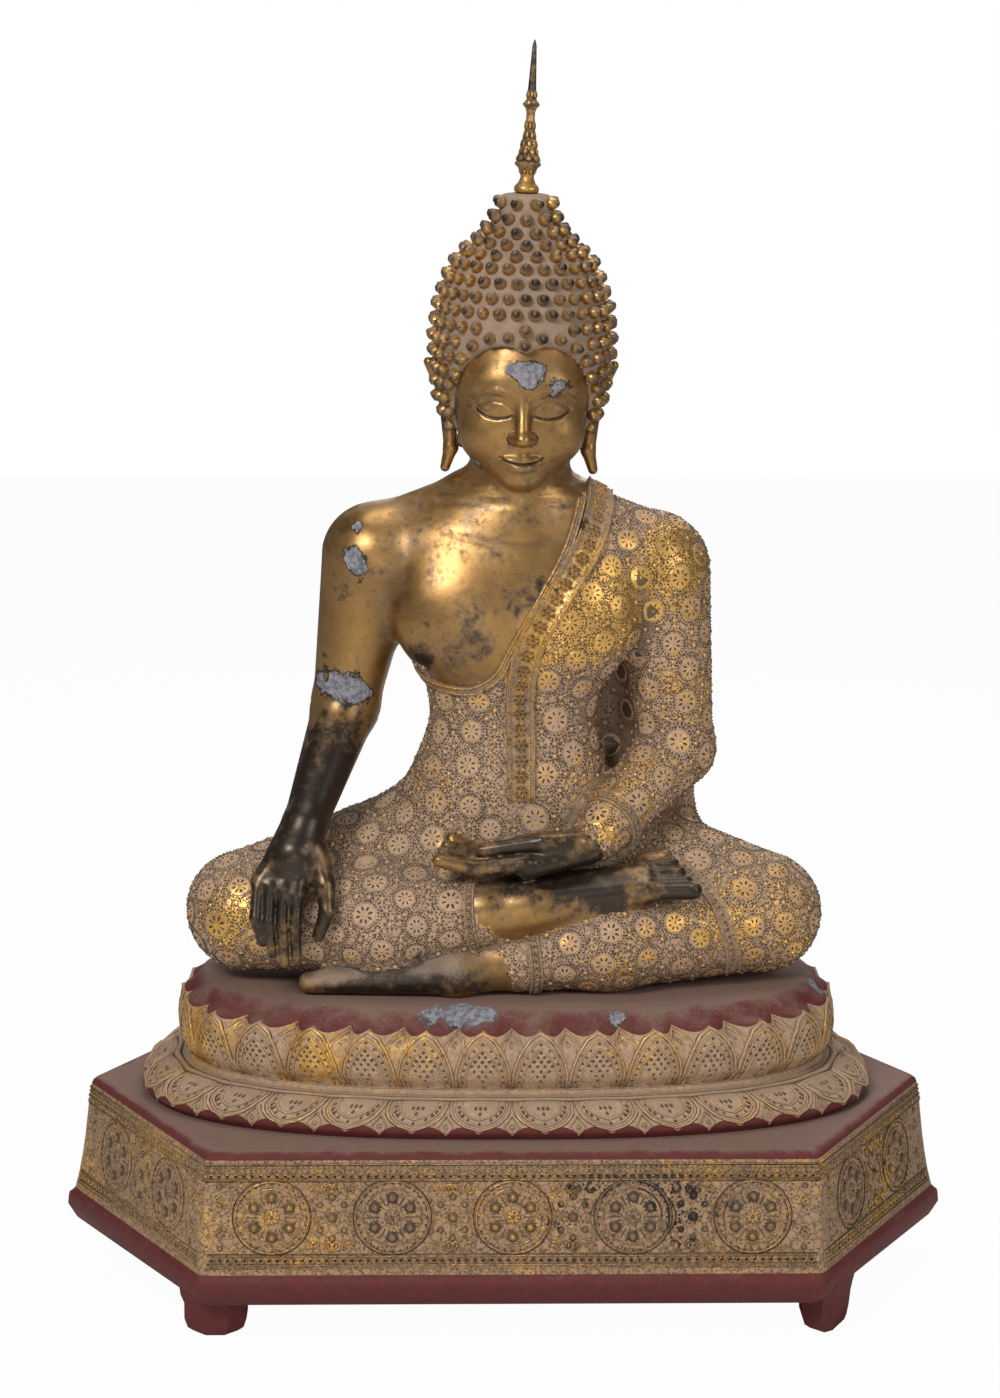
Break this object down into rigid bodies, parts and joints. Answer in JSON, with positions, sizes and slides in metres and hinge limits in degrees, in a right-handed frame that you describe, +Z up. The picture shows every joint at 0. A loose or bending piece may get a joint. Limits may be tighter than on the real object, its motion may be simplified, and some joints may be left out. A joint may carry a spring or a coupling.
{
  "type": "seated buddha statue",
  "caption": "Gilded and lacquered Buddha seated cross-legged, one hand over the shin and one in the lap, on a lotus throne and a flared, footed plinth, for display on a floor.",
  "frame": {"origin": "middle of the plinth's footprint, on the floor", "axes": "+Z up, -Y towards the front that the figure faces, +X to the right of someone facing it"},
  "size_m": [1.026, 0.564, 1.4],
  "materials": {
    "gilded_figure": "worn gilding over black lacquer, with dust",
    "gilded_finial": "worn gilding",
    "gilded_red_throne": "red lacquer with dusty gilding",
    "gilded_red_plinth": "red lacquer with worn gilding and dust"
  },
  "bodies": {
    "root": {"figure": "gilded_figure", "finial": "gilded_finial", "lotus_throne": "gilded_red_throne", "plinth": "gilded_red_plinth"}
  },
  "joints": []
}
